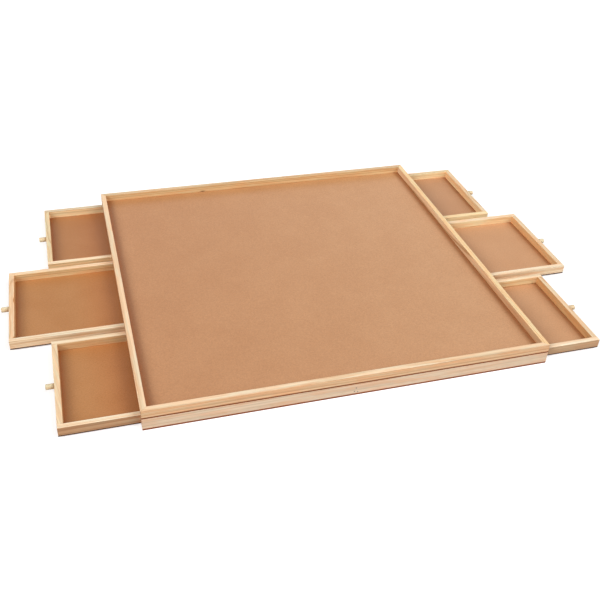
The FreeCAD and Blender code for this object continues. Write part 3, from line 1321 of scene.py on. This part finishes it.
@dataclass
class Carcass:
    """The base, the rails, the spine and the dividers that the drawers run between."""

    seed: int = 10
    rail_figure: float = 0.55
    stain_reach: Place = (2.6 * MM, 2.6 * MM, 2.6 * MM)

    def build(self) -> None:
        """Build the carcass from the base up."""
        Sheet("base_panel").build()
        battens = {"back_rail": Axis.X, "centre_spine": Axis.Y}
        for side in Side:
            for row in (Row.FRONT, Row.BACK):
                battens[f"divider_{side.name.lower()}_{row.value}"] = Axis.X
        for seed, (node, axis) in enumerate(battens.items(), self.seed):
            Batten(node, Timber(axis, seed, figure=self.rail_figure), RAIL_PINE).build()
        self.build_front_rail()
        Brads("base_brads", Drive.UP).build()
        Brads("back_rail_brads", Drive.TO_FRONT).build()

    def build_front_rail(self) -> None:
        """Build the front rail, with the wood stained round its three brads."""
        brads = Brads("front_rail_brads", Drive.TO_BACK)
        stains = tuple(Mark(tuple(head), self.stain_reach) for head, length in brads.places())
        finish = replace(RAIL_PINE, name="stained_rail_pine", marks=stains)
        timber = Timber(Axis.X, self.seed - 1, figure=self.rail_figure)
        Batten("front_rail", timber, finish).build()
        brads.build()


@dataclass
class Tray:
    """The work panel and the mitred rim around it."""

    seed: int = 40
    front_pith: Span = (4.0 * MM, -34.0 * MM)
    knot_place: Span = (-0.163, 0.0348)
    knot_reach: Place = (11.0 * MM, 4.0 * MM, 3.0 * MM)
    knot_dye: Colour = shown(84, 36, 4)
    knot_strength: float = 0.9

    def build(self) -> None:
        """Build the panel, then the rim on it."""
        Sheet("work_panel", SHADE_PAINTED_HARDBOARD, ("rim_left", "rim_right")).build()
        seeds = count(self.seed)
        front = Timber(Axis.X, next(seeds), pith=self.front_pith)
        left = Timber(Axis.Y, next(seeds), top=Tint.SAND)
        right = Timber(Axis.Y, next(seeds), Tint.PALE, Tint.HONEY)
        back = Timber(Axis.X, next(seeds), Tint.STRAW, Tint.UMBER)
        MitredBatten("rim_front", front).build()
        MitredBatten("rim_left", left).build()
        MitredBatten("rim_right", right).build()
        across, up = self.knot_place
        inner_face = Block.of("rim_back").low.y
        knot = Mark((across, inner_face, up), self.knot_reach, self.knot_dye, self.knot_strength)
        MitredBatten("rim_back", back, replace(PINE, name="knotted_pine", marks=(knot,))).build()


@dataclass(frozen=True)
class Look:
    """A wall's side and top tints, and its sides' share of the top's colour, partly painted light
    and shade.
    """

    sides: Tint
    top: Tint = Tint.PLAIN
    sanded_and_lit_share: float = 0.0

    def timber(self, axis: Axis, seed: int, **cut: object) -> Timber:
        """Return timber that looks so."""
        return Timber(axis, seed, self.sides, self.top, self.sanded_and_lit_share, **cut)


@dataclass
class Drawer:
    """One sorting drawer."""

    side: Side
    row: Row
    seed: int
    bottom: Hardboard
    front: Look
    back: Look
    face: Look
    face_lean: float = 0.02
    face_figure: float = 0.5
    face_pith: Span = (6.0 * MM, -40.0 * MM)

    def node(self, part: str) -> str:
        """Return the name of the node of one of the drawer's pieces."""
        return f"drawer_{self.side.name.lower()}_{self.row.value}_{part}"

    def build(self) -> None:
        """Build the drawer's bottom, walls, knob and brads."""
        seeds = count(self.seed)
        ends = (self.node("face"), self.node("inner_end"))
        walls = ends if self.side is Side.LEFT else ends[::-1]
        Sheet(self.node("bottom"), self.bottom, walls).build()
        Batten(self.node("front_side"), self.front.timber(Axis.X, next(seeds))).build()
        Batten(self.node("back_side"), self.back.timber(Axis.X, next(seeds))).build()
        face = self.face.timber(
            Axis.Y, next(seeds), figure=self.face_figure, lean=self.face_lean,
            pith=self.face_pith)
        Batten(self.node("face"), face, WAVY_PINE).build()
        Batten(self.node("inner_end"), Timber(Axis.Y, next(seeds))).build()
        Knob(self.node("knob"), self.side, next(seeds)).build()
        Brads(self.node("brads"), Drive.UP).build()


# ---- studio


@dataclass(frozen=True)
class Lamp:
    """A broad lamp that is far off, and its share of the light on a level face.

    Bearing is in degrees from the front, to the right, and height is in degrees above the floor.
    """

    name: str
    bearing: float
    height: float
    spread: float
    share: float

    def build(self) -> None:
        """Hang the lamp."""
        height = math.radians(self.height)
        towards = Vector((0.0, -math.cos(height), math.sin(height)))
        towards.rotate(Euler((0.0, 0.0, math.radians(self.bearing))))
        light = bpy.data.lights.new(self.name, "SUN")
        light.energy = math.pi * self.share / math.sin(height)
        light.angle = math.radians(self.spread)
        put(self.name, light).rotation_euler = towards.to_track_quat("Z", "Y").to_euler()


@dataclass
class Studio:
    """The floor, the soft light and the camera."""

    lamps: tuple[Lamp, ...] = (
        Lamp("left_softbox", bearing=-60.0, height=36.0, spread=30.0, share=0.43),
        Lamp("right_softbox", bearing=58.0, height=43.0, spread=45.0, share=0.46),
    )
    sky_share: float = 0.11
    floor_size: float = 30.0
    floor_drop: float = 0.2 * MM
    floor_colour: Colour = shown(210, 210, 210)
    floor_lift: float = 0.60
    camera_place: Place = (-0.5057, -1.6287, 1.1610)
    camera_turn: Place = (54.174, -2.129, -15.913)
    focal_length: float = 49.27
    film_width: float = 36.0

    def build(self) -> None:
        """Set up everything that isn't part of the object."""
        self.lay_floor()
        self.light_sky()
        for lamp in self.lamps:
            lamp.build()
        self.aim_camera()
        bpy.context.scene.view_settings.view_transform = "Standard"

    @staticmethod
    def seen(graph: Graph) -> Socket:
        """Return 1 for what the camera sees, also in a mirror or through glass.

        Args:
            graph: The graph of the floor or of the sky.

        Returns:
            The mask.
        """
        rays = graph.add("ShaderNodeLightPath").outputs
        mirrored = graph.math("MAXIMUM", rays["Is Glossy Ray"], rays["Is Transmission Ray"])
        return graph.math("MAXIMUM", rays["Is Camera Ray"], mirrored)

    def lay_floor(self) -> None:
        """Lay a plain pale floor that keeps the object's soft shadow."""
        shape = bmesh.new()
        bmesh.ops.create_grid(shape, x_segments=1, y_segments=1, size=self.floor_size / 2)
        bmesh.ops.translate(shape, vec=(0.0, 0.0, -self.floor_drop), verts=shape.verts)
        mesh = saved(shape, "floor")
        material = bpy.data.materials.new("pale_floor")
        material.use_nodes = True
        graph = Graph(material.node_tree)
        shader = material.node_tree.nodes["Principled BSDF"]
        graph.feed(shader, "Base Color", self.floor_colour)
        graph.feed(shader, "Roughness", 1.0)
        graph.feed(shader, "Specular IOR Level", 0.0)
        graph.feed(shader, "Emission Color", WHITE)
        lift = graph.math("MULTIPLY", self.seen(graph), self.floor_lift)
        graph.feed(shader, "Emission Strength", lift)
        mesh.materials.append(material)
        floor = put("floor", mesh)

    def light_sky(self) -> None:
        """Light the board evenly from all round, before a white background."""
        world = bpy.data.worlds.new("studio")
        world.use_nodes = True
        bpy.context.scene.world = world
        graph = Graph(world.node_tree)
        background = world.node_tree.nodes["Background"]
        graph.feed(background, "Color", WHITE)
        graph.feed(background, "Strength", graph.spread(self.seen(graph), self.sky_share, 1.0))

    def aim_camera(self) -> None:
        """Put the camera where it sees the board from the front left."""
        lens = bpy.data.cameras.new("camera")
        lens.lens = self.focal_length
        lens.sensor_width = self.film_width
        lens.sensor_fit = "HORIZONTAL"
        camera = put("camera", lens)
        camera.location = self.camera_place
        camera.rotation_euler = Euler([math.radians(angle) for angle in self.camera_turn])
        bpy.context.scene.camera = camera


# ---- the whole


DRAWERS = (
    Drawer(
        Side.LEFT, Row.FRONT, 100, TAN_SHADED_HARDBOARD,
        front=Look(Tint.WEATHERED, Tint.PALE, sanded_and_lit_share=0.2),
        back=Look(Tint.TOAST),
        face=Look(Tint.HONEY, Tint.OAT),
        face_lean=0.16),
    Drawer(
        Side.LEFT, Row.MIDDLE, 110, TAN_SHADED_HARDBOARD,
        front=Look(Tint.PLAIN, Tint.PALE, sanded_and_lit_share=0.4),
        back=Look(Tint.STRAW),
        face=Look(Tint.HONEY, Tint.AMBER),
        face_figure=1.5),
    Drawer(
        Side.LEFT, Row.BACK, 120, DEEP_TAN_SHADED_HARDBOARD,
        front=Look(Tint.HONEY, Tint.PLAIN, sanded_and_lit_share=0.5),
        back=Look(Tint.STRAW, Tint.ASH, sanded_and_lit_share=0.55),
        face=Look(Tint.HONEY, Tint.TOAST)),
    Drawer(
        Side.RIGHT, Row.FRONT, 230, DARK_EDGED_HARDBOARD,
        front=Look(Tint.WEATHERED, Tint.PALE, sanded_and_lit_share=0.38),
        back=Look(Tint.STRAW, Tint.PLAIN, sanded_and_lit_share=0.15),
        face=Look(Tint.OCHRE, Tint.TAN)),
    Drawer(
        Side.RIGHT, Row.MIDDLE, 140, DARK_EDGED_HARDBOARD,
        front=Look(Tint.PLAIN, Tint.PALE, sanded_and_lit_share=0.7),
        back=Look(Tint.STRAW, Tint.PLAIN, sanded_and_lit_share=0.5),
        face=Look(Tint.HONEY, Tint.TAN)),
    Drawer(
        Side.RIGHT, Row.BACK, 150, DULL_HARDBOARD,
        front=Look(Tint.GOLDEN, Tint.GOLDEN, sanded_and_lit_share=1.0),
        back=Look(Tint.GOLDEN, Tint.TOAST, sanded_and_lit_share=1.0),
        face=Look(Tint.HONEY, Tint.TAN, sanded_and_lit_share=0.6)),
)


def main() -> None:
    """Build the board, its drawers and the studio."""
    logging.basicConfig(level=logging.INFO, format="%(name)s: %(message)s")
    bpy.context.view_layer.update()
    Carcass().build()
    Tray().build()
    for drawer in DRAWERS:
        drawer.build()
    Studio().build()


if __name__ == "__main__":
    main()
